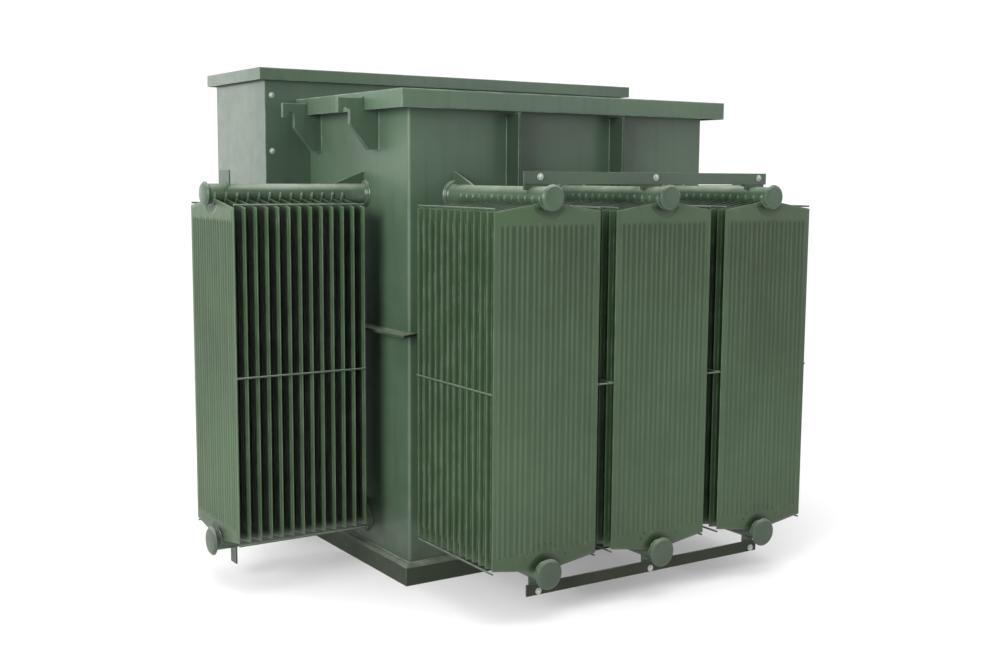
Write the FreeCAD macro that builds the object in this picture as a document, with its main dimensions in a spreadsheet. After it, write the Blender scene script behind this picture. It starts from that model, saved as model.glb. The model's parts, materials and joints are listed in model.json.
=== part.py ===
"""Oil-filled power transformer with panel radiators and a closed terminal cabinet.

Millimetres. +X runs along the long face, +Y from the radiator face to the cabinet, +Z up.
The origin is the centre of the base frame's underside, at floor level.
"""
import FreeCAD, Part
import os
import Sketcher

doc = FreeCAD.newDocument("power_transformer")
sheet = doc.addObject("Spreadsheet::Sheet", "size")
parts = []

SIZES = [
    # tank and base
    ("tank_long", 1680), ("tank_deep", 1020), ("tank_high", 2100), ("tank_corner", 12),
    ("base_high", 95), ("base_out", 32), ("base_lip", 12),
    # cover, an inverted tray over the tank
    ("cover_plate", 12), ("skirt_drop", 69), ("skirt_thick", 6),
    ("side_over", 76), ("front_over", 82),
    # lifting lugs on the two end walls
    ("lug_thick", 20), ("lug_front", 285), ("lug_rear", 895), ("lug_reach", 204),
    ("lug_neck", 146), ("lug_foot", 56), ("lug_top_drop", 15), ("lug_nose", 68),
    ("lug_neck_drop", 48), ("lug_high", 229), ("notch_radius", 16), ("notch_drop", 57),
    ("slot_gap", 3),
    # stiffeners
    ("ledge_rise", 1130), ("ledge_wide", 60), ("ledge_thick", 12), ("ledge_return", 45),
    ("fin_deep", 100), ("fin_thick", 12), ("fin_clear", 6),
    ("fin_one_left", 23), ("fin_two_left", 36),
    # radiators
    ("radiator_gap", 84), ("front_first", 125), ("end_first", 132), ("end_centre", 426),
    ("panel_count", 13), ("panel_pitch", 50.5), ("panel_wide", 520), ("panel_thick", 10),
    ("header_low", 210), ("header_drop", 443), ("shoulder_in", 48), ("shoulder_in_low", 38),
    ("gable_rise", 40), ("pipe_radius", 44.5), ("pipe_end", 27), ("cap_radius", 54),
    ("cap_radius_low", 64), ("cap_thick", 15), ("collar_radius", 60), ("collar_thick", 14),
    ("fit_gap", 0.3), ("rod_radius", 4),
    # header gussets, tie brackets and tie bars
    ("gusset_long", 160), ("gusset_clear", 10), ("gusset_high", 60), ("gusset_thick", 8),
    ("bracket_wide", 114), ("bracket_wide_low", 60), ("bracket_thick", 8), ("saddle_rise", 30),
    ("front_saddle_in", 98), ("front_saddle_in_low", 73),
    ("end_saddle_in", 61), ("end_saddle_in_low", 72),
    ("bar_high", 50), ("bar_thick", 8), ("bar_above", 10), ("bar_below", 20),
    ("bar_past", 63), ("bar_past_low", 47),
    # terminal cabinet
    ("cab_left", 240), ("cab_right", 285), ("cab_deep", 652), ("cab_rise", 142),
    ("sheet_thick", 5), ("hood_high", 58), ("hood_over", 37), ("hood_front", 30),
    ("frame_wide", 60), ("frame_deep", 40), ("stop_wide", 20), ("stop_thick", 8),
    ("door_gap", 4),
]

for row, (alias, value) in enumerate(SIZES, start=1):
    sheet.set("A%d" % row, alias)
    sheet.set("B%d" % row, str(value))
    sheet.setAlias("B%d" % row, alias)
doc.recompute()

# Lines and levels shared by several pieces, as expressions on the sheet.
S = "<<size>>."


def named(text):
    """Put the sheet's name before every size named in an expression."""
    words = sorted((alias for alias, value in SIZES), key=len, reverse=True)
    out = ""
    at = 0
    while at < len(text):
        word = next((w for w in words if text.startswith(w, at)), None)
        out += S + word if word else text[at]
        at += len(word) if word else 1
    return out


HALF_LONG = "tank_long/2"
FRONT = "(base_out - (tank_deep + base_out)/2)"
BACK = "(" + FRONT + " + tank_deep)"
TANK_TOP = "(base_high + tank_high)"
COVER_TOP = "(" + TANK_TOP + " + cover_plate)"
HEADER_TOP = "(" + TANK_TOP + " - header_drop)"
SHOULDER_TOP = "(" + HEADER_TOP + " - shoulder_in)"
SHOULDER_LOW = "(header_low + shoulder_in_low)"
PANEL_MID = "((" + SHOULDER_LOW + " + " + SHOULDER_TOP + ")/2)"
STACK = "(panel_count - 1)*panel_pitch"
RADIATOR_PITCH = "(panel_wide + radiator_gap)"
CAB_BACK = "(" + BACK + " + cab_deep)"
CAB_HIGH = "(" + COVER_TOP + " + cab_rise)"
ROD_SIDE = "(panel_wide/2 + fit_gap + rod_radius)"
GABLE_SLOPE = "(2*gable_rise/panel_wide)"
ROD_ON_GABLE = ("(" + GABLE_SLOPE + "*rod_radius"
                + " + (rod_radius + fit_gap)*sqrt(1 + " + GABLE_SLOPE + "^2))")


def bind(thing, **expressions):
    """Bind properties of a document object to expressions on the sheet."""
    for name, text in expressions.items():
        thing.setExpression(name.replace("__", "."), named(text))


def place(thing, x="0", y="0", z="0", axis=None, angle=0):
    """Place an object, with its position bound to the sheet."""
    if axis is not None:
        thing.Placement.Rotation = FreeCAD.Rotation(FreeCAD.Vector(*axis), angle)
    bind(thing, Placement__Base__x=x, Placement__Base__y=y, Placement__Base__z=z)


def box(name, size, at):
    """A box given by its three sizes and its lowest corner."""
    solid = doc.addObject("Part::Box", name)
    bind(solid, Length=size[0], Width=size[1], Height=size[2])
    place(solid, *at)
    return solid


def cylinder(name, radius, length, at, axis=None, angle=0):
    """A cylinder along its own Z, turned by angle about axis."""
    solid = doc.addObject("Part::Cylinder", name)
    bind(solid, Radius=radius, Height=length)
    place(solid, *at, axis=axis, angle=angle)
    return solid


def cut(name, base, tools):
    """The base solid less the tools, one Part::Cut after another."""
    for number, tool in enumerate(tools, start=1):
        piece = doc.addObject("Part::Cut", "%s_cut_%d" % (name, number))
        piece.Base = base
        piece.Tool = tool
        base = piece
    return base


def joined(kind, name, members):
    """Several shapes as one object: Part::MultiFuse or Part::Compound."""
    whole = doc.addObject(kind, name)
    if kind == "Part::Compound":
        whole.Links = members
    else:
        whole.Shapes = members
    return whole


def keep(thing, label):
    """Record an object as a named sub-part of the transformer."""
    thing.Label = label
    parts.append(thing)
    return thing


def plane(body, role):
    """One of a body's own origin planes."""
    return next(f for f in body.Origin.OriginFeatures if f.Role == role)


def outline(body, role, name, points):
    """A closed sketch through points, each coordinate bound to the sheet."""
    sketch = body.newObject("Sketcher::SketchObject", name)
    sketch.AttachmentSupport = [(plane(body, role), "")]
    sketch.MapMode = "FlatFace"
    spots = [FreeCAD.Vector(value_of(u), value_of(v), 0) for u, v in points]
    count = len(spots)
    for number, spot in enumerate(spots):
        sketch.addGeometry(Part.LineSegment(spot, spots[(number + 1) % count]), False)
    for number in range(count):
        sketch.addConstraint(Sketcher.Constraint("Coincident", number, 2, (number + 1) % count, 1))
    for number, (u, v) in enumerate(points):
        for kind, text, axis in (("DistanceX", u, -2), ("DistanceY", v, -1)):
            if text == "0":
                sketch.addConstraint(Sketcher.Constraint("PointOnObject", number, 1, axis))
                continue
            rule = sketch.addConstraint(
                Sketcher.Constraint(kind, -1, 1, number, 1, value_of(text)))
            sketch.setExpression("Constraints[%d]" % rule, named(text))
    return sketch


def value_of(text):
    """The present value of an expression on the sheet."""
    return float(sheet.evalExpression(named(text)))


def padded(label, role, points, thickness, midplane=True):
    """A PartDesign body: one outline padded by a thickness."""
    body = doc.addObject("PartDesign::Body", label)
    sketch = outline(body, role, label + "_outline", points)
    pad = body.newObject("PartDesign::Pad", label + "_pad")
    pad.Profile = sketch
    pad.Midplane = midplane
    bind(pad, Length=thickness)
    sketch.Visibility = False
    return body


def bored(body, role, label, circles):
    """Holes right through a body, each given by its centre and radius."""
    sketch = body.newObject("Sketcher::SketchObject", label + "_circles")
    sketch.AttachmentSupport = [(plane(body, role), "")]
    sketch.MapMode = "FlatFace"
    for number, (u, v, radius) in enumerate(circles):
        centre = FreeCAD.Vector(value_of(u), value_of(v), 0)
        sketch.addGeometry(Part.Circle(centre, FreeCAD.Vector(0, 0, 1), value_of(radius)), False)
        for kind, ends, text in (("DistanceX", (-1, 1, number, 3), u),
                                 ("DistanceY", (-1, 1, number, 3), v),
                                 ("Radius", (number,), radius)):
            if text == "0":
                sketch.addConstraint(Sketcher.Constraint("PointOnObject", number, 3, -2))
                continue
            rule = sketch.addConstraint(Sketcher.Constraint(kind, *ends, value_of(text)))
            sketch.setExpression("Constraints[%d]" % rule, named(text))
    pocket = body.newObject("PartDesign::Pocket", label)
    pocket.Profile = sketch
    pocket.Midplane = True
    pocket.Type = 1
    return pocket


# ---------------------------------------------------------------- base and tank

def base_and_tank():
    """The base frame with its chamfered lip, and the tank standing on it."""
    base = box("base_block", ("tank_long + 2*base_out", "tank_deep + base_out", "base_high"),
               ("-" + HALF_LONG + " - base_out", FRONT + " - base_out", "0"))
    doc.recompute()
    lip = doc.addObject("Part::Chamfer", "base_lip_edges")
    lip.Base = base
    size = value_of("base_lip")
    lip.Edges = [(n, size, size) for n in edges_where(base, top_front_or_side)]
    keep(lip, "base_frame")
    tank = box("tank_block", ("tank_long", "tank_deep", "tank_high"),
               ("-" + HALF_LONG, FRONT, "base_high"))
    doc.recompute()
    rounded = doc.addObject("Part::Fillet", "tank_corners")
    rounded.Base = tank
    size = value_of("tank_corner")
    rounded.Edges = [(n, size, size) for n in edges_where(tank, front_upright)]
    keep(rounded, "tank")


def edges_where(solid, test):
    """The numbers of a solid's edges that pass a test."""
    return [n for n, edge in enumerate(solid.Shape.Edges, start=1) if test(edge, solid.Shape)]


def top_front_or_side(edge, shape):
    """A top edge of a block, except the one at its back."""
    low, high = edge.BoundBox, shape.BoundBox
    on_top = low.ZMin > high.ZMax - 0.01
    at_back = low.YMin > high.YMax - 0.01
    return on_top and not at_back


def front_upright(edge, shape):
    """An upright edge of a block at its front."""
    box_of = edge.BoundBox
    return box_of.ZLength > 1 and box_of.YMax < shape.BoundBox.YMin + 0.01


# ------------------------------------------------------------ cover and lugs

def lug_lines():
    """Name, side sign and Y of each lifting lug."""
    for end, sign in (("left", -1), ("right", 1)):
        for spot in ("front", "rear"):
            yield "%s_%s" % (end, spot), sign, "(%s + lug_%s)" % (FRONT, spot)


def cover():
    """The cover plate with its turned-down skirt, slotted where the lugs come through."""
    shell = box("cover_outer",
                ("tank_long + 2*side_over", "tank_deep + front_over", "cover_plate + skirt_drop"),
                ("-" + HALF_LONG + " - side_over", FRONT + " - front_over",
                 TANK_TOP + " - skirt_drop"))
    hollow = box("cover_inner",
                 ("tank_long + 2*side_over - 2*skirt_thick", "tank_deep + front_over",
                  "skirt_drop*2"),
                 ("-" + HALF_LONG + " - side_over + skirt_thick",
                  FRONT + " - front_over + skirt_thick", TANK_TOP + " - skirt_drop*2"))
    slots = []
    for where, sign, y in lug_lines():
        x = HALF_LONG + " + side_over - 2*skirt_thick"
        if sign < 0:
            x = "-(" + HALF_LONG + " + side_over + 2*skirt_thick)"
        slots.append(box("slot_" + where,
                         ("4*skirt_thick", "lug_thick + 2*slot_gap",
                          "skirt_drop*2 - lug_top_drop + slot_gap"),
                         (x, y + " - lug_thick/2 - slot_gap", TANK_TOP + " - skirt_drop*2")))
    keep(cut("cover", shell, [hollow] + slots), "cover")


def lifting_lugs():
    """A hook-shaped lug plate welded to an end wall, notched under its nose for a sling."""
    for where, sign, y in lug_lines():
        top = TANK_TOP + " - lug_top_drop"
        side = "-" if sign < 0 else ""
        nose = top + " - lug_nose"
        crown = top + " - notch_drop"
        tip = "(lug_neck + 2*notch_radius)"
        rows = [("0", top), ("lug_reach", top), ("lug_reach", nose), (tip, nose), (tip, crown),
                ("lug_neck", crown), ("lug_neck", nose + " - lug_neck_drop"),
                ("lug_foot", top + " - lug_high"), ("0", top + " - lug_high")]
        points = [(u if u == "0" else side + u, v) for u, v in rows]
        body = padded("lug_" + where, "XZ_Plane", points, "lug_thick")
        bored(body, "XZ_Plane", "notch_" + where,
              [(side + "(lug_neck + notch_radius)", crown, "notch_radius")])
        place(body, side + HALF_LONG, y, "0")
        keep(body, "lifting_lug_" + where)


# --------------------------------------------------------------- stiffeners

def end_ledges():
    """A flat ledge round each end wall at mid height, tapering out on the front wall."""
    for end, sign in (("left", "-"), ("right", "")):
        wall = sign + HALF_LONG
        outer = sign + "(" + HALF_LONG + " + ledge_wide)"
        inner = sign + "(" + HALF_LONG + " - ledge_return)"
        points = [(wall, BACK), (outer, BACK), (outer, FRONT + " - ledge_wide"),
                  (inner, FRONT), (wall, FRONT)]
        body = padded("ledge_" + end, "XY_Plane", points, "ledge_thick", False)
        place(body, "0", "0", "ledge_rise")
        keep(body, "end_ledge_" + end)


def front_fins():
    """Two upright flat bars on the front wall, one in each gap between radiators."""
    fins = []
    for number, middle in ((1, "-" + RADIATOR_PITCH + "/2 - fin_one_left"),
                           (2, RADIATOR_PITCH + "/2 - fin_two_left")):
        fins.append(box("fin_%d" % number,
                        ("fin_thick", "fin_deep", "tank_high - skirt_drop - fin_clear"),
                        (middle + " - fin_thick/2", FRONT + " - fin_deep", "base_high")))
    keep(joined("Part::Compound", "front_fin_set", fins), "front_stiffeners")


# ---------------------------------------------------------------- radiators

def radiator_sites():
    """Label, first panel's distance from the wall, wall point and turn of each radiator."""
    for number, shift in ((1, "-" + RADIATOR_PITCH), (2, "0"), (3, RADIATOR_PITCH)):
        yield "front_%d" % number, "front_first", shift, FRONT, 0
    yield "left", "end_first", "-" + HALF_LONG, "(" + FRONT + " + end_centre)", -90
    yield "right", "end_first", HALF_LONG, "(" + FRONT + " + end_centre)", 90


def panels(label):
    """Thirteen hexagonal panels notched for the headers; their channels are left plain."""
    half = "panel_wide/2"
    points = [("-" + half, SHOULDER_LOW), ("0", SHOULDER_LOW + " - gable_rise"),
              (half, SHOULDER_LOW), (half, SHOULDER_TOP),
              ("0", SHOULDER_TOP + " + gable_rise"), ("-" + half, SHOULDER_TOP)]
    body = padded(label + "_panels", "XZ_Plane", points, "panel_thick")
    body.AllowCompound = True
    pad = body.Tip
    notch = bored(body, "XZ_Plane", label + "_notches",
                  [("0", level, "pipe_radius + fit_gap") for level in ("header_low", HEADER_TOP)])
    doc.recompute()
    row = body.newObject("PartDesign::LinearPattern", label + "_row")
    row.Originals = [pad, notch]
    row.Direction = (plane(body, "XZ_Plane"), [""])
    bind(row, Length=STACK, Occurrences="panel_count")
    body.Tip = row
    return body


def header(label, level, tag, first, cap):
    """A header pipe from the wall out past the last panel, with its collar and end cap."""
    name = "%s_%s" % (label, tag)
    length = first + " + " + STACK + " + pipe_end"
    spots = [("pipe", "pipe_radius", length, "0"),
             ("collar", "collar_radius", "collar_thick", "0"),
             ("cap", cap, "cap_thick", "-(" + length + ")")]
    members = [cylinder("%s_%s" % (name, what), radius, long_, ("0", y, level),
                        axis=(1, 0, 0), angle=90)
               for what, radius, long_, y in spots]
    return joined("Part::MultiFuse", name + "_header", members)


def tie_rods(label, first):
    """Six rods along the panels: on their shoulders above and below, and at mid height."""
    rods = []
    on_gable = "(panel_wide/2 - rod_radius)"
    for side, letter in (("-", "a"), ("", "b")):
        for level, x, z in (("low", on_gable, SHOULDER_LOW + " - " + ROD_ON_GABLE),
                            ("mid", ROD_SIDE, PANEL_MID),
                            ("top", on_gable, SHOULDER_TOP + " + " + ROD_ON_GABLE)):
            rods.append(cylinder("%s_rod_%s_%s" % (label, level, letter), "rod_radius",
                                 STACK, (side + x, "-" + first, z),
                                 axis=(1, 0, 0), angle=90))
    return joined("Part::Compound", label + "_rod_set", rods)


def gusset(label, level, tag, long_):
    """A triangular gusset on top of a header, between its collar and the wall above."""
    seat = "pipe_radius + fit_gap"
    points = [("0", level + " + collar_radius + fit_gap"),
              ("-(collar_thick + fit_gap)", level + " + collar_radius + fit_gap"),
              ("-(collar_thick + fit_gap)", level + " + " + seat), ("-" + long_, level + " + " + seat),
              ("0", level + " + " + seat + " + gusset_high")]
    return padded("%s_%s_gusset" % (label, tag), "YZ_Plane", points, "gusset_thick")


def bracket(label, level, tag, first, inset):
    """A saddle plate near the outer end of a header, standing up or hanging down."""
    name = "%s_%s_bracket" % (label, tag)
    space, wide = ("bar_above", "bracket_wide") if tag == "top" else ("bar_below", "bracket_wide_low")
    reach = "(pipe_radius + " + space + " + bar_high - saddle_rise)"
    low = level + (" + saddle_rise" if tag == "top" else " - saddle_rise - " + reach)
    y = "-(" + first + " + " + STACK + " - " + inset + ")"
    plate = box(name + "_plate", (wide, "bracket_thick", reach),
                ("-" + wide + "/2", y + " - bracket_thick/2", low))
    seat = cylinder(name + "_seat", "pipe_radius + fit_gap", "3*bracket_thick",
                    ("0", y + " + 1.5*bracket_thick", level), axis=(1, 0, 0), angle=90)
    return cut(name, plate, [seat])


def radiators():
    """Five like radiators: three on the front wall and one on each end wall."""
    for label, first, x, y, turn in radiator_sites():
        stack = panels(label)
        top = header(label, HEADER_TOP, "top", first, "cap_radius")
        low = header(label, "header_low", "bottom", first, "cap_radius_low")
        rods = tie_rods(label, first)
        inset = "end_saddle_in" if turn else "front_saddle_in"
        low_gusset = "(" + first + " - panel_thick/2 - gusset_clear)"
        small = [gusset(label, HEADER_TOP, "top", "gusset_long"),
                 gusset(label, "header_low", "bottom", low_gusset),
                 bracket(label, HEADER_TOP, "top", first, inset),
                 bracket(label, "header_low", "bottom", first, inset + "_low")]
        plates = joined("Part::Compound", label + "_plate_set", small)
        for thing, tag in ((top, "top_header"), (low, "bottom_header"), (rods, "tie_rods"),
                           (plates, "brackets")):
            place(thing, x, y, "0", axis=(0, 0, 1), angle=turn)
            keep(thing, "radiator_%s_%s" % (label, tag))
        out = {0: ("0", "-"), -90: ("-", "0"), 90: ("", "0")}[turn]
        place(stack, x + ("" if out[0] == "0" else " + " + out[0] + first),
              y + ("" if out[1] == "0" else " - " + first), "0", axis=(0, 0, 1), angle=turn)
        keep(stack, "radiator_%s_panels" % label)


def front_ties():
    """Tie bars across the three front radiators, top and bottom, and the short mid ties."""
    outer = FRONT + " - (front_first + " + STACK + ")"
    for tag, inset, past, z in (
            ("top", "front_saddle_in", "bar_past", HEADER_TOP + " + pipe_radius + bar_above"),
            ("bottom", "front_saddle_in_low", "bar_past_low",
             "header_low - pipe_radius - bar_below - bar_high")):
        bar = box("bar_" + tag, ("2*" + RADIATOR_PITCH + " + 2*" + past, "bar_thick", "bar_high"),
                  ("-" + RADIATOR_PITCH + " - " + past,
                   outer + " + " + inset + " - bracket_thick/2 - bar_thick", z))
        keep(bar, "front_tie_bar_" + tag)
    ties = []
    for number, shift in ((1, "-" + RADIATOR_PITCH), (2, "0")):
        start = shift + " + " + ROD_SIDE + " + rod_radius + fit_gap"
        length = RADIATOR_PITCH + " - 2*(" + ROD_SIDE + " + rod_radius + fit_gap)"
        ties.append(cylinder("mid_tie_%d" % number, "rod_radius", length,
                             (start, outer, PANEL_MID), axis=(0, 1, 0), angle=90))
    keep(joined("Part::Compound", "mid_tie_set", ties), "front_mid_ties")


# ------------------------------------------------------------------ cabinet

def cabinet():
    """The closed terminal cabinet behind the tank: sheet walls, hood, frame and doors."""
    left = "(-" + HALF_LONG + " - cab_left)"
    wide = "(tank_long + cab_left + cab_right)"
    right = "(" + HALF_LONG + " + cab_right)"
    keep(box("cab_front", (wide, "sheet_thick", CAB_HIGH), (left, BACK, "0")),
         "cabinet_front_wall")
    for side, x in (("left", left), ("right", right + " - sheet_thick")):
        keep(box("cab_" + side, ("sheet_thick", "cab_deep - sheet_thick", CAB_HIGH),
                 (x, BACK + " + sheet_thick", "0")), "cabinet_%s_wall" % side)
    hood_outer = box("hood_outer", (wide + " + 2*hood_over", "cab_deep + hood_front + hood_over",
                                    "hood_high"),
                     (left + " - hood_over", BACK + " - hood_front",
                      CAB_HIGH + " + sheet_thick - hood_high"))
    hood_inner = box("hood_inner", (wide + " + 2*hood_over - 2*sheet_thick",
                                    "cab_deep + hood_front + hood_over - 2*sheet_thick",
                                    "hood_high"),
                     (left + " - hood_over + sheet_thick", BACK + " - hood_front + sheet_thick",
                      CAB_HIGH + " - hood_high"))
    keep(cut("hood", hood_outer, [hood_inner]), "cabinet_hood")
    inside = wide + " - 2*sheet_thick"
    x_in = left + " + sheet_thick"
    frame_y = CAB_BACK + " - frame_deep"
    ring = box("frame_block", (inside, "frame_deep", CAB_HIGH), (x_in, frame_y, "0"))
    opening = box("frame_opening", (inside + " - 2*frame_wide", "frame_deep",
                                    CAB_HIGH + " - 2*frame_wide"),
                  (x_in + " + frame_wide", frame_y + " + stop_thick", "frame_wide"))
    behind = box("frame_behind", (inside + " - 2*frame_wide - 2*stop_wide", "3*frame_deep",
                                  CAB_HIGH + " - 2*frame_wide - 2*stop_wide"),
                 (x_in + " + frame_wide + stop_wide", frame_y + " - frame_deep",
                  "frame_wide + stop_wide"))
    keep(cut("frame", ring, [opening, behind]), "cabinet_door_frame")
    leaf = "(" + inside + " - 2*frame_wide - 3*door_gap)/2"
    for side, x in (("left", x_in + " + frame_wide + door_gap"),
                    ("right", x_in + " + frame_wide + 2*door_gap + " + leaf)):
        keep(box("door_" + side, (leaf, "frame_deep - stop_thick",
                                  CAB_HIGH + " - 2*frame_wide - 2*door_gap"),
                 (x, frame_y + " + stop_thick", "frame_wide + door_gap")),
             "cabinet_%s_door" % side)


base_and_tank()
cover()
lifting_lugs()
end_ledges()
front_fins()
radiators()
front_ties()
cabinet()
doc.recompute()

for thing in doc.Objects:
    if "Invalid" in thing.State or "Error" in thing.State:
        raise RuntimeError("%s failed: %s" % (thing.Name, thing.State))
for part in parts:
    if part.Shape.isNull() or not part.Shape.isValid():
        raise RuntimeError("%s has no valid shape" % part.Label)

os.makedirs("parts", exist_ok=True)
for part in parts:
    part.Shape.exportStep("parts/%s.step" % part.Label)
    print("%-34s %2d solids %12.0f mm3" % (part.Label, len(part.Shape.Solids), part.Shape.Volume))
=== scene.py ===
import json
import math
import random

import bpy
from mathutils import Matrix, Vector


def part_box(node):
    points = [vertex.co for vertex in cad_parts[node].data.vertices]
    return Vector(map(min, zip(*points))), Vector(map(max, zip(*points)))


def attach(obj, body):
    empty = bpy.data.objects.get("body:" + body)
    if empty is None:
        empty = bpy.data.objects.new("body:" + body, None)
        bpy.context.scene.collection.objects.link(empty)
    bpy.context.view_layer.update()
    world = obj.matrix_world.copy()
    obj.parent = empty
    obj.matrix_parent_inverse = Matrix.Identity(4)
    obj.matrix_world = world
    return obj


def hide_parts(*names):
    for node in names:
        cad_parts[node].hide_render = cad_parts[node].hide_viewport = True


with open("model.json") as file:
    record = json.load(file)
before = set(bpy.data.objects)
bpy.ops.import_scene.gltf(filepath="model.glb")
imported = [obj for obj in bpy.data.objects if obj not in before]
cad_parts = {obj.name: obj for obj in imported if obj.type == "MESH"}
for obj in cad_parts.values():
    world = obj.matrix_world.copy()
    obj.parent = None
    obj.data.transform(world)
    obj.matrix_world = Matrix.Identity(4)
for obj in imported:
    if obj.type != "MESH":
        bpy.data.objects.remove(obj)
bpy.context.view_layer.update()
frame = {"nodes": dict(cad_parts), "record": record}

record = frame["record"]

# ---- camera, light and floor -------------------------------------------------------------

CAMERA_AT = (-3.540, -5.413, 1.836)
CAMERA_YAW = 0.574
CAMERA_PITCH = -0.122
CAMERA_ROLL = 0.007
CAMERA_LENS = 45.86
SENSOR = 36.0


def make_camera():
    """A camera near the front left corner, a little below the cover."""
    data = bpy.data.cameras.new("camera")
    data.sensor_width = SENSOR
    data.lens = CAMERA_LENS
    camera = bpy.data.objects.new("camera", data)
    bpy.context.scene.collection.objects.link(camera)
    turn = (Matrix.Rotation(-CAMERA_YAW, 4, "Z")
            @ Matrix.Rotation(math.pi / 2 + CAMERA_PITCH, 4, "X")
            @ Matrix.Rotation(CAMERA_ROLL, 4, "Z"))
    camera.matrix_world = Matrix.Translation(CAMERA_AT) @ turn
    bpy.context.scene.camera = camera


# name, place, where it is aimed, width and height, watts
SOFTBOXES = (
    ("key", (-8.7, -4.8, 4.0), (-0.8, -0.3, 1.2), (4.0, 4.0), 920.0),
    ("back_left", (-2.9, 6.4, 2.6), (-1.1, 0.8, 1.7), (1.4, 2.6), 18.0),
    ("left", (-6.5, 2.5, 4.5), (-0.5, 0.0, 1.2), (4.0, 4.0), 90.0),
    ("front_right", (4.5, -6.0, 2.6), (0.9, -0.8, 1.5), (3.0, 3.0), 38.0),
    ("overhead", (0.0, -1.0, 7.5), (0.0, -0.5, 0.0), (7.0, 7.0), 480.0),
)


def softbox(name, place, aim, size, power):
    """A rectangular area light at place, turned to aim."""
    data = bpy.data.lights.new(name, "AREA")
    data.shape = "RECTANGLE"
    data.size, data.size_y = size
    data.energy = power
    light = bpy.data.objects.new(name, data)
    bpy.context.scene.collection.objects.link(light)
    light.visible_camera = False
    light.location = place
    light.rotation_mode = "QUATERNION"
    light.rotation_quaternion = (Vector(aim) - Vector(place)).to_track_quat("-Z", "Y")


def node(tree, kind, inputs=(), **settings):
    """A shader node with its settings, and its inputs set to values or linked to sockets."""
    made = tree.nodes.new("ShaderNode" + kind)
    for key, value in settings.items():
        setattr(made, key, value)
    for key, value in dict(inputs).items():
        if isinstance(value, bpy.types.NodeSocket):
            tree.links.new(value, made.inputs[key])
        else:
            made.inputs[key].default_value = value
    return made


def maths(tree, operation, first, second):
    """The result of one Math node."""
    return node(tree, "Math", {0: first, 1: second}, operation=operation).outputs[0]


def ramp(tree, value, low, high, to_low=0.0, to_high=1.0):
    """A value carried from one range to another, and held at its ends."""
    return node(tree, "MapRange", {"Value": value, "From Min": low, "From Max": high,
                                   "To Min": to_low, "To Max": to_high}).outputs["Result"]


BACKWARD = {"X": 0.25, "Y": 0.92}
TURNING = (-0.55, 0.15)
WORLD_SEEN = 1.05
WORLD_BEHIND = 0.95
WORLD_FRONT = 0.34
FLOOR_NEAR = 2.6
FLOOR_FAR = 4.6
FLOOR_GLOW = 0.25
FLOOR_SIZE = 80.0
FLOOR_COLOUR = (0.92, 0.92, 0.92, 1.0)
WHITE = (1.0, 1.0, 1.0, 1.0)


def make_world():
    """White to the camera; as light, soft behind the object and dimmer in front of it."""
    world = bpy.data.worlds.new("studio")
    bpy.context.scene.world = world
    world.use_nodes = True
    tree = world.node_tree
    way = node(tree, "TexCoord").outputs["Generated"]
    split = node(tree, "SeparateXYZ", {0: way}).outputs
    toward = maths(tree, "ADD", maths(tree, "MULTIPLY", split["Y"], BACKWARD["Y"]),
                   maths(tree, "MULTIPLY", split["X"], BACKWARD["X"]))
    level = ramp(tree, toward, *TURNING, WORLD_FRONT, WORLD_BEHIND)
    seen = node(tree, "LightPath").outputs["Is Camera Ray"]
    level = maths(tree, "MAXIMUM", level, maths(tree, "MULTIPLY", seen, WORLD_SEEN))
    background = tree.nodes["Background"]
    background.inputs["Color"].default_value = WHITE
    tree.links.new(level, background.inputs["Strength"])


def make_floor():
    """A pale matt floor that runs out into plain white away from the object."""
    bpy.ops.mesh.primitive_plane_add(size=FLOOR_SIZE, location=(0.0, 0.0, 0.0))
    floor = bpy.context.object
    floor.name = "floor"
    material = bpy.data.materials.new("floor_white")
    material.use_nodes = True
    tree = material.node_tree
    shader = tree.nodes["Principled BSDF"]
    shader.inputs["Base Color"].default_value = FLOOR_COLOUR
    shader.inputs["Roughness"].default_value = 0.9
    shader.inputs["Specular IOR Level"].default_value = 0.1
    where = node(tree, "TexCoord").outputs["Object"]
    away = node(tree, "VectorMath", {0: where}, operation="LENGTH").outputs["Value"]
    share = ramp(tree, away, FLOOR_NEAR, FLOOR_FAR, FLOOR_GLOW)
    glow = node(tree, "Emission", {"Color": WHITE, "Strength": WORLD_SEEN})
    both = node(tree, "MixShader", {0: share, 1: shader.outputs[0], 2: glow.outputs[0]})
    tree.links.new(both.outputs[0], tree.nodes["Material Output"].inputs["Surface"])
    floor.data.materials.append(material)


def make_studio():
    """World, softboxes and floor, shown without a film look."""
    make_world()
    for box in SOFTBOXES:
        softbox(*box)
    make_floor()
    bpy.context.scene.view_settings.view_transform = "Standard"


# ---- materials ---------------------------------------------------------------------------

DUST = (0.30, 0.33, 0.27, 1.0)
GRIME = (0.028, 0.036, 0.019, 1.0)
# painted highlight colour laid along rounded edges, standing for light catching them
PAINTED_EDGE_LIGHT = (0.340, 0.420, 0.350, 1.0)
# painted shade colour: near black, laid in flute valleys, header dishes and the deep faces between
# panels; the spot-weld marks are drawn with it too
PAINTED_SHADE_COLOUR = (0.010, 0.019, 0.009, 1.0)
PAINTED_SHADE_SHARE = 0.75
ZINC = (0.28, 0.32, 0.28, 1.0), (0.46, 0.50, 0.45, 1.0)
LIGHTER = 1.16
DARKER = 0.84
GRAIN = 0.10
COAT_ROUGH = 0.15

# noise: scale per metre, detail, roughness
BROAD = (1.4, 3.0)
MIDDLE = (11.0, 5.0, 0.62)
FINE = (190.0, 2.0)
STREAK = (1.0, 4.0, 0.6)
STREAKS_PER_METRE = (26.0, 26.0, 1.1)
WAVES = (4.5, 2.0)
PEEL = (320.0, 2.0)
SPOTTED = (260.0, 4.0, 0.6)

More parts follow.
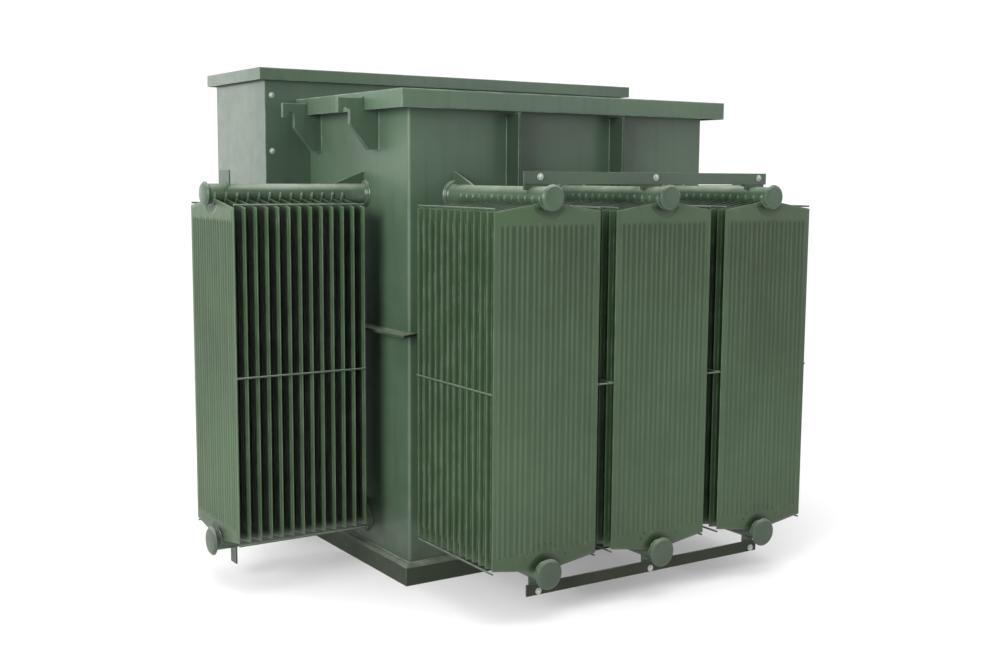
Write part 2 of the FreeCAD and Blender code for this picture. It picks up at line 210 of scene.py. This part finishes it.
# ramps: from, to, and what they give there if it isn't 0 and 1
SHADES = (0.32, 0.68)
MOTTLE = (0.35, 0.72, 0.0, 0.30)
STREAKED = (0.52, 0.80, 0.0, 0.35)
NEAR_FLOOR = (0.02, 0.55, 1.0, 0.0)
GRIME_AMOUNT = (0.30, 0.75, 0.30, 0.80)
LEVEL_FACE = (0.35, 0.95)
DUST_AMOUNT = (0.30, 0.70, 0.25, 0.75)
AT_EDGE = (0.985, 0.80)
PAINTED_EDGE_LIGHT_AMOUNT = (0.42, 0.66, 0.15, 0.8)


def blend_colour(tree, amount, first, second, kind="MIX"):
    """Two colours mixed by an amount."""
    mix = node(tree, "Mix", data_type="RGBA", blend_type=kind)
    for socket, value in ((mix.inputs[0], amount), (mix.inputs[6], first), (mix.inputs[7], second)):
        if isinstance(value, bpy.types.NodeSocket):
            tree.links.new(value, socket)
        else:
            socket.default_value = value
    return mix.outputs[2]


def noise(tree, vector, scale, detail=3.0, roughness=0.55):
    """The value of a noise texture at a scale per metre."""
    return node(tree, "TexNoise", {"Vector": vector, "Scale": scale, "Detail": detail,
                                   "Roughness": roughness}).outputs["Fac"]


def enamel(name, base, rough, coat, round_edge, wave, peel, specular):
    """Green enamel on steel: mottled, streaked, grimy low down, dusty on top, with painted shade
    from a point layer and a painted highlight along edges.
    """
    material = bpy.data.materials.new(name)
    material.use_nodes = True
    tree = material.node_tree
    where = node(tree, "TexCoord").outputs["Object"]
    geometry = node(tree, "NewGeometry").outputs
    height = node(tree, "SeparateXYZ", {0: geometry["Position"]}).outputs["Z"]
    soft = node(tree, "Bevel", {"Radius": round_edge}, samples=4).outputs[0]
    up = node(tree, "SeparateXYZ", {0: soft}).outputs["Z"]
    broad = noise(tree, where, *BROAD)
    middle = noise(tree, where, *MIDDLE)
    fine = noise(tree, where, *FINE)
    stretched = node(tree, "Mapping", {"Vector": where, "Scale": STREAKS_PER_METRE}).outputs[0]
    streak = noise(tree, stretched, *STREAK)
    light = tuple(c * LIGHTER for c in base) + (1.0,)
    dark = tuple(c * DARKER for c in base) + (1.0,)
    colour = blend_colour(tree, ramp(tree, broad, *SHADES), dark, light)
    colour = blend_colour(tree, ramp(tree, middle, *MOTTLE), colour, light)
    colour = blend_colour(tree, ramp(tree, streak, *STREAKED), colour, GRIME)
    low = ramp(tree, height, *NEAR_FLOOR)
    grime = maths(tree, "MULTIPLY", low, ramp(tree, middle, *GRIME_AMOUNT))
    colour = blend_colour(tree, grime, colour, GRIME)
    dust = maths(tree, "MULTIPLY", ramp(tree, up, *LEVEL_FACE),
                 ramp(tree, middle, *DUST_AMOUNT))
    colour = blend_colour(tree, dust, colour, DUST)
    # painted shade: a point layer on the panels darkens flute valleys, header dishes, the faces
    # between panels and the spot-weld marks
    painted_shade = node(tree, "Attribute", attribute_name="painted_shade").outputs["Fac"]
    colour = blend_colour(tree, maths(tree, "MULTIPLY", painted_shade, PAINTED_SHADE_SHARE), colour, PAINTED_SHADE_COLOUR)
    # painted highlight: where the rounded normal leaves the true one, edges are lightened in
    # patches as if catching light
    same = node(tree, "VectorMath", {0: soft, 1: geometry["True Normal"]},
                operation="DOT_PRODUCT").outputs["Value"]
    edge = maths(tree, "MULTIPLY", ramp(tree, same, *AT_EDGE),
                 ramp(tree, middle, *PAINTED_EDGE_LIGHT_AMOUNT))
    colour = blend_colour(tree, edge, colour, PAINTED_EDGE_LIGHT)
    grey = node(tree, "CombineXYZ", {0: fine, 1: fine, 2: fine}).outputs[0]
    colour = blend_colour(tree, GRAIN, colour, grey, "OVERLAY")
    shine = maths(tree, "ADD", ramp(tree, middle, 0.30, 0.75, rough - 0.05, rough + 0.10),
                  maths(tree, "MULTIPLY", dust, 0.30))
    shine = maths(tree, "ADD", shine, maths(tree, "MULTIPLY", grime, 0.25))
    waves = node(tree, "Bump", {"Strength": 0.6, "Distance": wave, "Normal": soft,
                                "Height": noise(tree, where, *WAVES)}).outputs[0]
    skin = node(tree, "Bump", {"Strength": 0.5, "Distance": peel, "Normal": waves,
                               "Height": noise(tree, where, *PEEL)}).outputs[0]
    shader = tree.nodes["Principled BSDF"]
    tree.links.new(colour, shader.inputs["Base Color"])
    tree.links.new(shine, shader.inputs["Roughness"])
    tree.links.new(skin, shader.inputs["Normal"])
    shader.inputs["Coat Weight"].default_value = coat
    shader.inputs["Coat Roughness"].default_value = COAT_ROUGH
    shader.inputs["Specular IOR Level"].default_value = specular
    return material


def make_zinc():
    """Pale zinc-plated steel of the bolts."""
    material = bpy.data.materials.new("bolt_zinc")
    material.use_nodes = True
    tree = material.node_tree
    where = node(tree, "TexCoord").outputs["Object"]
    spots = noise(tree, where, *SPOTTED)
    colour = blend_colour(tree, ramp(tree, spots, 0.35, 0.7), *ZINC)
    shader = tree.nodes["Principled BSDF"]
    tree.links.new(colour, shader.inputs["Base Color"])
    tree.links.new(ramp(tree, spots, 0.3, 0.7, 0.35, 0.55), shader.inputs["Roughness"])
    bump = node(tree, "Bump", {"Strength": 0.3, "Distance": 0.0003, "Height": spots}).outputs[0]
    tree.links.new(bump, shader.inputs["Normal"])
    shader.inputs["Metallic"].default_value = 0.3
    return material


# ---- mesh helpers ------------------------------------------------------------------------

def add(shape, points, faces):
    """Append points and faces to a shape, a pair of lists."""
    start = len(shape[0])
    shape[0].extend(points)
    shape[1].extend([[start + i for i in face] for face in faces])


def make_piece(name, shape, material, replaced=(), sharp=40.0):
    """A mesh object that rides on the root body, smooth but for edges over an angle."""
    mesh = bpy.data.meshes.new(name)
    mesh.from_pydata([tuple(p) for p in shape[0]], [], shape[1])
    mesh.validate()
    mesh.shade_smooth()
    mesh.set_sharp_from_angle(angle=math.radians(sharp))
    mesh.materials.append(material)
    piece = bpy.data.objects.new(name, mesh)
    bpy.context.scene.collection.objects.link(piece)
    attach(piece, "root")
    if replaced:
        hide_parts(*replaced)
    return piece


def ease(low, high, value):
    """A smooth step from 0 at low to 1 at high."""
    t = min(1.0, max(0.0, (value - low) / (high - low)))
    return t * t * (3.0 - 2.0 * t)


def grid_faces(rows, columns, start=0, flip=False):
    """Quads of a grid of points laid out row by row."""
    faces = []
    for r in range(rows - 1):
        for c in range(columns - 1):
            a = start + r * columns + c
            quad = [a, a + 1, a + columns + 1, a + columns]
            faces.append(quad[::-1] if flip else quad)
    return faces


def stack_faces(rings, sides):
    """Faces round a stack of closed rings of points, and over its two ends."""
    faces = []
    for r in range(rings - 1):
        for k in range(sides):
            a = r * sides + k
            b = r * sides + (k + 1) % sides
            faces.append([a, b, b + sides, a + sides])
    faces.append(list(range(sides))[::-1])
    faces.append([(rings - 1) * sides + k for k in range(sides)])
    return faces


class Site:
    """Where a radiator stands: across, out from the wall, and up."""

    def __init__(self, label):
        low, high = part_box("radiator_%s_panels" % label)
        pipe_low, pipe_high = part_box("radiator_%s_top_header" % label)
        if label.startswith("front"):
            self.out = Vector((0.0, -1.0, 0.0))
            self.wall = Vector(((low[0] + high[0]) / 2, pipe_high[1], 0.0))
            self.half = (high[0] - low[0]) / 2
            reach = pipe_high[1] - low[1], pipe_high[1] - high[1]
        else:
            sign = -1.0 if label == "left" else 1.0
            near, far = (high[0], low[0]) if sign < 0 else (low[0], high[0])
            root = pipe_high[0] if sign < 0 else pipe_low[0]
            self.out = Vector((sign, 0.0, 0.0))
            self.wall = Vector((root, (low[1] + high[1]) / 2, 0.0))
            self.half = (high[1] - low[1]) / 2
            reach = abs(far - root), abs(near - root)
        self.first = reach[1] + PANEL_THICK / 2
        self.last = reach[0] - PANEL_THICK / 2
        self.low, self.high = low[2], high[2]
        self.across = self.out.cross(Vector((0.0, 0.0, 1.0)))

    def point(self, u, w, z):
        """A point across by u, out from the wall by w, at height z."""
        return self.wall + self.across * u + self.out * w + Vector((0.0, 0.0, z))

    def pipe(self, label, tag):
        """Middle height and outer end of a header."""
        low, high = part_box("radiator_%s_%s_header" % (label, tag))
        corners = [Vector(low) - self.wall, Vector(high) - self.wall]
        return (low[2] + high[2]) / 2, max(self.out.dot(c) for c in corners)


# ---- radiator panels ---------------------------------------------------------------------

PANEL_THICK = 0.010
PANEL_COUNT = 13
GABLE_RISE = 0.040

# half the thickness of a panel at its rim, flat parts, valleys and ridges
RIM = 0.0026
SMOOTH = 0.0042
VALLEY = 0.0012
RIDGE = 0.0050

RIM_WIDE = 0.011
RIM_STEP = 0.004
SIDE_MORE = 0.006
ROUND = 0.0022
ROUND_START = 0.4
DISH_IN = 0.074
DISH_OUT = 0.090
# painted shade over the dish round each header: full within the first radius, gone by the second
DISH_SHADE = DISH_IN - 0.012, DISH_OUT - 0.004
GROUPS = (-0.2075, -0.1245, -0.0415, 0.0415, 0.1245, 0.2075)
IN_GROUP = (-0.025, 0.0, 0.025)
RIDGE_HALF = 0.0085
RIDGE_FLAT = 0.0018
FLUTE_LOW = 0.300
FLUTE_TOP = 1.648
FLUTE_END = 0.014
MIDDLE_LONGER = 0.010
# painted shade in the flute valleys: how dark, and the heights over which it comes in from below
FLUTE_SHADE = 0.75
FLUTE_FADE = (0.25, 0.75)
# painted shade on the inner panels' faces beyond the flat flange at the side, coming in over the
# next distance
FLANGE = 0.026
FLANGE_FADE = 0.018
WIDEST_CELL = 0.0065
FULL_OFFSETS = (-0.0085, -0.006, -0.003, 0.0, 0.003, 0.006, 0.0085)
PLAIN_OFFSETS = (-0.0085, -0.0035, 0.0035, 0.0085)
FULL_STEPS = (0.0, 0.005, 0.010, 0.014, 0.019, 0.024)
PLAIN_STEPS = (0.0, 0.024)
PLAIN_ROWS = 17
LEAN = 0.0006
LEAN_ABOUT = 1.0

# spot-weld marks: radius of their arc, how many, room to the edge, rings of (rise, radius)
SPOT_ARC = 0.122
SPOTS = 13
SPOT_ROOM = 0.022
SPOT_SUNK = 0.0002
SPOT_RINGS = [(0.0, 0.0045), (0.0006, 0.0040), (0.0008, 0.0030)]
SPOT_SIDES = 10
SPOT_SHADE = 0.8


def flute(u):
    """How far a point across the panel is up a ridge, and whether the ridge is a longer one."""
    for group in GROUPS:
        for step in IN_GROUP:
            away = abs(u - group - step)
            if away < RIDGE_HALF:
                return 1.0 - ease(RIDGE_FLAT, RIDGE_HALF, away), step == 0.0
    return 0.0, False


def panel_height(u, z, low_edge, top_edge, half, pipes):
    """Half the thickness of a panel at a point of its face, and how much painted shade it gets
    there.
    """
    level, longer = flute(u)
    extra = MIDDLE_LONGER if longer else 0.0
    start, end = FLUTE_LOW - extra, FLUTE_TOP + extra
    run = ease(start, start + FLUTE_END, z) * (1.0 - ease(end - FLUTE_END, end, z))
    body = SMOOTH + (VALLEY + (RIDGE - VALLEY) * level - SMOOTH) * run
    painted_shade = FLUTE_SHADE * run * (1.0 - level) * ease(*FLUTE_FADE, z)
    for middle in pipes:
        away = math.hypot(u, z - middle)
        body = VALLEY + (body - VALLEY) * ease(DISH_IN, DISH_OUT, away)
        painted_shade = max(painted_shade, 1.0 - ease(*DISH_SHADE, away))
    inset = min(half - SIDE_MORE - abs(u), top_edge - z, z - low_edge)
    inside = ease(RIM_WIDE, RIM_WIDE + RIM_STEP, inset)
    edge = min(half - abs(u), top_edge - z, z - low_edge)
    rounding = ROUND_START + (1.0 - ROUND_START) * ease(0.0, ROUND, edge)
    return (RIM + (body - RIM) * inside) * rounding, painted_shade * inside


def panel_columns(half, full):
    """Stations across a panel, closer together on the ridges."""
    offsets = FULL_OFFSETS if full else PLAIN_OFFSETS
    stations = set()
    rim = RIM_WIDE + SIDE_MORE
    for sign in (-1.0, 1.0):
        stations.update(sign * (half - s) for s in (0.0, ROUND, rim, rim + RIM_STEP))
    for group in GROUPS:
        for step in IN_GROUP:
            stations.update(group + step + o for o in offsets)
    row = sorted(stations)
    if not full:
        return row
    out = []
    for a, b in zip(row, row[1:]):
        count = max(1, math.ceil((b - a) / WIDEST_CELL))
        out.extend(a + (b - a) * k / count for k in range(count))
    return out + [row[-1]]


def panel_rows(low, top, full):
    """Heights up a panel at one station across it."""
    count = PLAIN_ROWS if full else 1
    steps = FULL_STEPS if full else PLAIN_STEPS
    body_low = low + RIM_WIDE + RIM_STEP
    body_top = top - RIM_WIDE - RIM_STEP
    start = FLUTE_LOW - MIDDLE_LONGER
    end = FLUTE_TOP + MIDDLE_LONGER
    rows = [low, low + ROUND, low + RIM_WIDE]
    rows += [body_low + (start - body_low) * k / count for k in range(count)]
    rows += [start + s for s in steps]
    rows += [end - s for s in reversed(steps)]
    rows += [end + (body_top - end) * k / count for k in range(1, count + 1)]
    return rows + [top - RIM_WIDE, top - ROUND, top]


def panel(shape, painted_shades, site, w, pipes, full, lean):
    """One pressed panel: two fluted sheets closed round the rim, its middle at w."""
    columns = panel_columns(site.half, full)
    width = len(columns)
    slope = GABLE_RISE / site.half
    edges = [(site.low + slope * abs(u), site.high - slope * abs(u)) for u in columns]
    heights = [panel_rows(low, top, full) for low, top in edges]
    count = len(heights[0])
    for side in (1.0, -1.0):
        points = []
        for r in range(count):
            for c, u in enumerate(columns):
                z = heights[c][r]
                rise, painted_shade = panel_height(u, z, edges[c][0], edges[c][1], site.half, pipes)
                # painted shade between panels: inner panels darken past the flange, where their
                # neighbours shade them
                if not full:
                    inward = site.half - abs(u)
                    painted_shade = max(painted_shade, ease(FLANGE, FLANGE + FLANGE_FADE, inward))
                tilt = lean * (z - LEAN_ABOUT)
                points.append(site.point(u, w + tilt + side * rise, z))
                painted_shades.append(painted_shade)
        add(shape, points, grid_faces(count, width, flip=side < 0))
    total = count * width
    base = len(shape[0]) - 2 * total
    ring = (list(range(width))
            + [r * width + width - 1 for r in range(1, count)]
            + [(count - 1) * width + c for c in range(width - 2, -1, -1)]
            + [r * width for r in range(count - 2, 0, -1)])
    for a, b in zip(ring, ring[1:] + ring[:1]):
        shape[1].append([base + b, base + a, base + total + a, base + total + b])


def spot_marks(shape, painted_shades, site, w, height):
    """The row of spot-weld marks on an arc over the bottom header of the outermost panel."""
    for n in range(SPOTS):
        angle = math.pi * (n + 0.5) / SPOTS
        u, z = SPOT_ARC * math.cos(angle), height + SPOT_ARC * math.sin(angle)
        if z < site.low + GABLE_RISE * abs(u) / site.half + SPOT_ROOM:
            continue
        at = site.point(u, w + SMOOTH - SPOT_SUNK, z)
        prism(shape, at, site.out, site.across, SPOT_RINGS, SPOT_SIDES)
        # the marks are drawn dark through the same layer
        painted_shades.extend([SPOT_SHADE] * (len(SPOT_RINGS) * SPOT_SIDES))


# ---- headers -----------------------------------------------------------------------------

PIPE = 0.0445
COLLAR = 0.060
COLLAR_LONG = 0.014
CAP_THICK = 0.015
CAPS = {"top": 0.054, "bottom": 0.064}
TURNS = 56

# outlines as (along the pipe, out from it), from a face, and the cap's from its own back and end
COLLAR_WELD = ((0.0, 0.006), (0.002, 0.0055), (0.005, 0.002), (0.007, 0.0))
COLLAR_ROUND = 0.003
FILLET = ((0.0, 0.007), (0.002, 0.0055), (0.005, 0.002), (0.008, 0.0))
CAP_BACK = ((0.0, -0.001), (0.001, 0.0), (0.005, 0.0))
CAP_FRONT = ((-0.003, -0.007), (-0.0006, -0.010), (0.0, -0.013))
CAP_MIDDLE = 0.002

UNEVEN = 0.16
POINTED = 0.35
NECK_BEAD = 0.0062
NECK_RADIUS = PIPE + 0.001
NECK_STEPS = 18


def lathe(shape, site, height, profile):
    """A closed turned form about a header's line: points of the profile are (w, radius)."""
    points = []
    for w, radius in profile:
        for k in range(TURNS):
            angle = 2.0 * math.pi * k / TURNS
            points.append(site.point(radius * math.sin(angle), w,
                                     height + radius * math.cos(angle)))
    add(shape, points, stack_faces(len(profile), TURNS))


def header_profile(end, cap):
    """Collar with its welds, pipe, and a chamfered cap, as (w, radius)."""
    back = end - CAP_THICK
    return ([(w, COLLAR + out) for w, out in COLLAR_WELD]
            + [(COLLAR_LONG - COLLAR_ROUND, COLLAR), (COLLAR_LONG, COLLAR - COLLAR_ROUND)]
            + [(COLLAR_LONG + w, PIPE + out) for w, out in FILLET]
            + [(back - w, PIPE + out) for w, out in reversed(FILLET)]
            + [(back + w, cap + out) for w, out in CAP_BACK]
            + [(end + w, cap + out) for w, out in CAP_FRONT]
            + [(end, CAP_MIDDLE)])


def tube(shape, path, radius, sides=6):
    """A tube of slightly uneven radius through points, with pointed ends."""
    last = len(path) - 1
    points = []
    for i, here in enumerate(path):
        along = (path[min(i + 1, last)] - path[max(i - 1, 0)]).normalized()
        side = along.orthogonal() if i == 0 else side - along * side.dot(along)
        side.normalize()
        other = along.cross(side)
        size = radius * (1.0 + UNEVEN * DRAW.uniform(-1.0, 1.0))
        if i in (0, last):
            size *= POINTED
        for k in range(sides):
            angle = 2.0 * math.pi * k / sides
            points.append(here + side * (size * math.cos(angle))
                          + other * (size * math.sin(angle)))
    add(shape, points, stack_faces(len(path), sides))


def seam(shape, start, end, radius=0.0035, step=0.006):
    """A straight weld bead from start to end."""
    start, end = Vector(start), Vector(end)
    count = max(2, round((end - start).length / step))
    tube(shape, [start.lerp(end, k / count) for k in range(count + 1)], radius)


def neck_welds(shape, site, height, places, up):
    """The bead round the neck of each panel, where it meets a header."""
    for w in places:
        path = []
        for k in range(NECK_STEPS + 1):
            angle = math.pi * (-0.05 + 1.10 * k / NECK_STEPS)
            drop = -math.sin(angle) if up else math.sin(angle)
            path.append(site.point(NECK_RADIUS * math.cos(angle), w,
                                   height + NECK_RADIUS * drop))
        tube(shape, path, NECK_BEAD, sides=8)


# ---- bolts -------------------------------------------------------------------------------

UP = Vector((0.0, 0.0, 1.0))
FORWARD = (0.0, -1.0, 0.0)
BACK = (0.0, 1.0, 0.0)

# rings of (distance, radius) as shares of a bolt's size
WASHER = ((0.0, 1.85), (0.30, 1.85), (0.38, 1.75))
HEXAGON = ((0.38, 1.15), (1.15, 1.15), (1.35, 0.95))
CROWN = ((1.35, 0.93), (1.42, 0.80))
DOME_WASHER = ((0.0, 1.6), (0.2, 1.6), (0.27, 1.5))
DOME = [(0.27 + 0.62 * math.sin(t), math.cos(t)) for t in (0.0, 0.35, 0.7, 1.05, 1.35)]
STUD_START = 1.3
STUD_POINT = 0.001
STUD_TIP = 0.8
WASHER_SIDES, CROWN_SIDES, STUD_SIDES, DOME_SIDES = 20, 16, 14, 22


def prism(shape, at, out, side, rings, sides, turn=0.0):
    """A closed stack of polygons along out: rings are (distance, radius)."""
    other = out.cross(side)
    points = []
    for along, radius in rings:
        for k in range(sides):
            angle = turn + 2.0 * math.pi * k / sides
            points.append(at + out * along + side * (radius * math.cos(angle))
                          + other * (radius * math.sin(angle)))
    add(shape, points, stack_faces(len(rings), sides))


def scaled(rings, size):
    """Rings of (distance, radius) times a size."""
    return [(along * size, radius * size) for along, radius in rings]


def bolt(shape, at, out, size, stud=0.0):
    """A washer and a hexagon head on an upright face, with a stud end if it is a nut."""
    at, out = Vector(at), Vector(out)
    prism(shape, at, out, UP, scaled(WASHER, size), WASHER_SIDES)
    prism(shape, at, out, UP, scaled(HEXAGON, size), 6, DRAW.uniform(0.0, 1.0))
    if stud:
        tip = size * STUD_START + stud
        prism(shape, at, out, UP, [(tip - stud, size), (tip - STUD_POINT, size),
                                   (tip, size * STUD_TIP)], STUD_SIDES)
    else:
        prism(shape, at, out, UP, scaled(CROWN, size), CROWN_SIDES)


def dome_bolt(shape, at, out, radius):
    """A round-headed bolt on a washer, on an upright face."""
    at, out = Vector(at), Vector(out)
    prism(shape, at, out, UP, scaled(DOME_WASHER, radius), DOME_SIDES)
    prism(shape, at, out, UP, scaled(DOME, radius), DOME_SIDES)


# ---- the transformer ---------------------------------------------------------------------

LEDGE_RETURN = 0.045
FIN_THICK = 0.012
GUSSET_THICK = 0.008
GUSSET_HIGH = 0.060
GUSSET_LONG = {"top": 0.155, "bottom": 0.105}
SADDLE_THICK = 0.008
PIPE_PAST = 0.027
SADDLE_IN = {("front", "top"): 0.098, ("front", "bottom"): 0.073, ("left", "top"): 0.061,
             ("left", "bottom"): 0.072, ("right", "top"): 0.061, ("right", "bottom"): 0.072}
BOLT_IN = 0.036
BOLT_DROP = 0.125
BOLT_PITCH = 0.272
BOLT_ROWS = 8

# weld beads by radius, and the length between a bead's rings where it isn't the usual one
FOOT_WELD, LUG_WELD, THIN_WELD = 0.0055, 0.0045, 0.0035
GUSSET_WELD, SADDLE_WELD = 0.0030, 0.0032
LONG_STEP = 0.009
SADDLE_ARC = 44.0, 92.0
SADDLE_STEPS = 12

# bar, height of its bolts over its lower edge, and how far right of the header they are
BAR_BOLTS = (("top", 0.029, 0.017), ("bottom", 0.016, 0.012))
BAR_BOLT = 0.008
CABINET_BOLT = 0.009

# colour, roughness, coat, edge radius, waviness, orange peel, specular level
ENAMELS = {
    "tank_enamel": ((0.060, 0.101, 0.063), 0.44, 0.12, 0.012, 0.0020, 0.0002, 0.5),
    "fitting_enamel": ((0.044, 0.076, 0.047), 0.40, 0.10, 0.006, 0.0010, 0.0004, 0.5),
    "radiator_enamel": ((0.044, 0.078, 0.038), 0.36, 0.06, 0.0022, 0.0006, 0.0002, 0.32),
    "pipe_enamel": ((0.043, 0.075, 0.044), 0.34, 0.10, 0.003, 0.0006, 0.0002, 0.4),
    "cabinet_enamel": ((0.048, 0.081, 0.052), 0.36, 0.26, 0.009, 0.0024, 0.0002, 0.5),
    "low_bar_enamel": ((0.019, 0.022, 0.013), 0.55, 0.0, 0.002, 0.0010, 0.0005, 0.3),
    "base_enamel": ((0.017, 0.029, 0.015), 0.50, 0.05, 0.004, 0.0016, 0.0004, 0.35),
    "fin_painted_shade_enamel": ((0.026, 0.044, 0.026), 0.45, 0.05, 0.006, 0.0010, 0.0004, 0.35),
}
# the stiffener fins get a darker copy of the enamel, painted shade standing for the shadow on their
# sides
DARKER_NODES = {"front_tie_bar_bottom": "low_bar_enamel", "base_frame": "base_enamel",
                "front_stiffeners": "fin_painted_shade_enamel"}

LABELS = ("front_1", "front_2", "front_3", "left", "right")
DRAW = random.Random(7)

make_camera()
make_studio()

finish = {name: enamel(name, *values) for name, values in ENAMELS.items()}
zinc = make_zinc()
slots = {part["node"]: part["material_slot"] for part in record["subparts"]}
for name, thing in frame["nodes"].items():
    thing.data.materials.clear()
    thing.data.materials.append(finish[DARKER_NODES.get(name, slots[name])])

for label in LABELS:
    site = Site(label)
    pipes = [site.pipe(label, "bottom"), site.pipe(label, "top")]
    levels = [height for height, end in pipes]
    shape, painted_shades = ([], []), []
    step = (site.last - site.first) / (PANEL_COUNT - 1)
    places = [site.first + step * n for n in range(PANEL_COUNT)]
    for number, w in enumerate(places):
        outermost = number == PANEL_COUNT - 1
        lean = 0.0 if outermost else DRAW.uniform(-LEAN, LEAN)
        panel(shape, painted_shades, site, w, levels, outermost, lean)
    spot_marks(shape, painted_shades, site, site.last, levels[0])
    piece = make_piece("fluted_panels_%s" % label, shape,
                       finish["radiator_enamel"], ["radiator_%s_panels" % label])
    # the point layer of painted shade, read by the enamel
    painted_shade_layer = piece.data.attributes.new("painted_shade", "FLOAT", "POINT")
    painted_shade_layer.data.foreach_set("value", painted_shades)
    for tag, (height, end) in zip(("bottom", "top"), pipes):
        shape = [], []
        lathe(shape, site, height, header_profile(end, CAPS[tag]))
        neck_welds(shape, site, height, places, tag == "top")
        make_piece("header_%s_%s" % (tag, label), shape, finish["pipe_enamel"],
                   ["radiator_%s_%s_header" % (label, tag)])

tank_low, tank_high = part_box("tank")
base_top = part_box("base_frame")[1][2]
WALLS = (tank_low[0], tank_high[0])

shape = [], []
foot = [(tank_low[0], tank_high[1]), (tank_low[0], tank_low[1]),
        (tank_high[0], tank_low[1]), (tank_high[0], tank_high[1])]
for (ax, ay), (bx, by) in zip(foot, foot[1:]):
    seam(shape, (ax, ay, base_top), (bx, by, base_top), FOOT_WELD, LONG_STEP)
make_piece("weld_tank_foot", shape, finish["tank_enamel"])

shape = [], []
for end, wall in zip(("left", "right"), WALLS):
    for spot in ("front", "rear"):
        low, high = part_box("lifting_lug_%s_%s" % (end, spot))
        for y in (low[1], high[1]):
            seam(shape, (wall, y, low[2]), (wall, y, high[2]), LUG_WELD)
        seam(shape, (wall, low[1], low[2]), (wall, high[1], low[2]), LUG_WELD)
    low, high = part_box("end_ledge_%s" % end)
    inner = wall + LEDGE_RETURN * (1.0 if end == "left" else -1.0)
    for z in (low[2], high[2]):
        seam(shape, (wall, high[1], z), (wall, tank_low[1], z), THIN_WELD)
        seam(shape, (wall, tank_low[1], z), (inner, tank_low[1], z), THIN_WELD)
make_piece("weld_end_walls", shape, finish["fitting_enamel"])

shape = [], []
low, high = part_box("front_stiffeners")
for x in (low[0], low[0] + FIN_THICK, high[0] - FIN_THICK, high[0]):
    seam(shape, (x, high[1], low[2]), (x, high[1], high[2]), THIN_WELD, LONG_STEP)
make_piece("weld_stiffeners", shape, finish["fitting_enamel"])

shape = [], []
for label in LABELS:
    site = Site(label)
    for tag, sign in (("bottom", -1.0), ("top", 1.0)):
        height, end = site.pipe(label, tag)
        for u in (-GUSSET_THICK / 2, GUSSET_THICK / 2):
            seam(shape, site.point(u, 0.0, height + COLLAR),
                 site.point(u, 0.0, height + PIPE + GUSSET_HIGH), GUSSET_WELD)
            seam(shape, site.point(u, COLLAR_LONG, height + PIPE),
                 site.point(u, GUSSET_LONG[tag], height + PIPE), GUSSET_WELD)
        middle = end - CAP_THICK - PIPE_PAST - SADDLE_IN[label[:5], tag]
        for w in (middle - SADDLE_THICK / 2, middle + SADDLE_THICK / 2):
            path = []
            for k in range(SADDLE_STEPS + 1):
                angle = math.radians(SADDLE_ARC[0] + SADDLE_ARC[1] * k / SADDLE_STEPS)
                path.append(site.point(PIPE * math.cos(angle), w,
                                       height + sign * PIPE * math.sin(angle)))
            tube(shape, path, SADDLE_WELD)
make_piece("weld_header_plates", shape, finish["pipe_enamel"])

shape = [], []
for tag, rise, right in BAR_BOLTS:
    low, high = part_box("front_tie_bar_%s" % tag)
    for label in LABELS[:3]:
        x = Site(label).wall[0] + right
        bolt(shape, (x, low[1], low[2] + rise), FORWARD, BAR_BOLT)
        nut_at = x, high[1] + SADDLE_THICK, low[2] + rise
        bolt(shape, nut_at, BACK, BAR_BOLT, BAR_BOLT)
make_piece("tie_bar_bolts", shape, zinc, sharp=30.0)

shape = [], []
low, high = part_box("cabinet_front_wall")
for x in (low[0] + BOLT_IN, high[0] - BOLT_IN):
    for n in range(BOLT_ROWS):
        z = high[2] - BOLT_DROP - n * BOLT_PITCH
        dome_bolt(shape, (x, low[1], z), FORWARD, CABINET_BOLT)
make_piece("cabinet_bolts", shape, zinc, sharp=30.0)
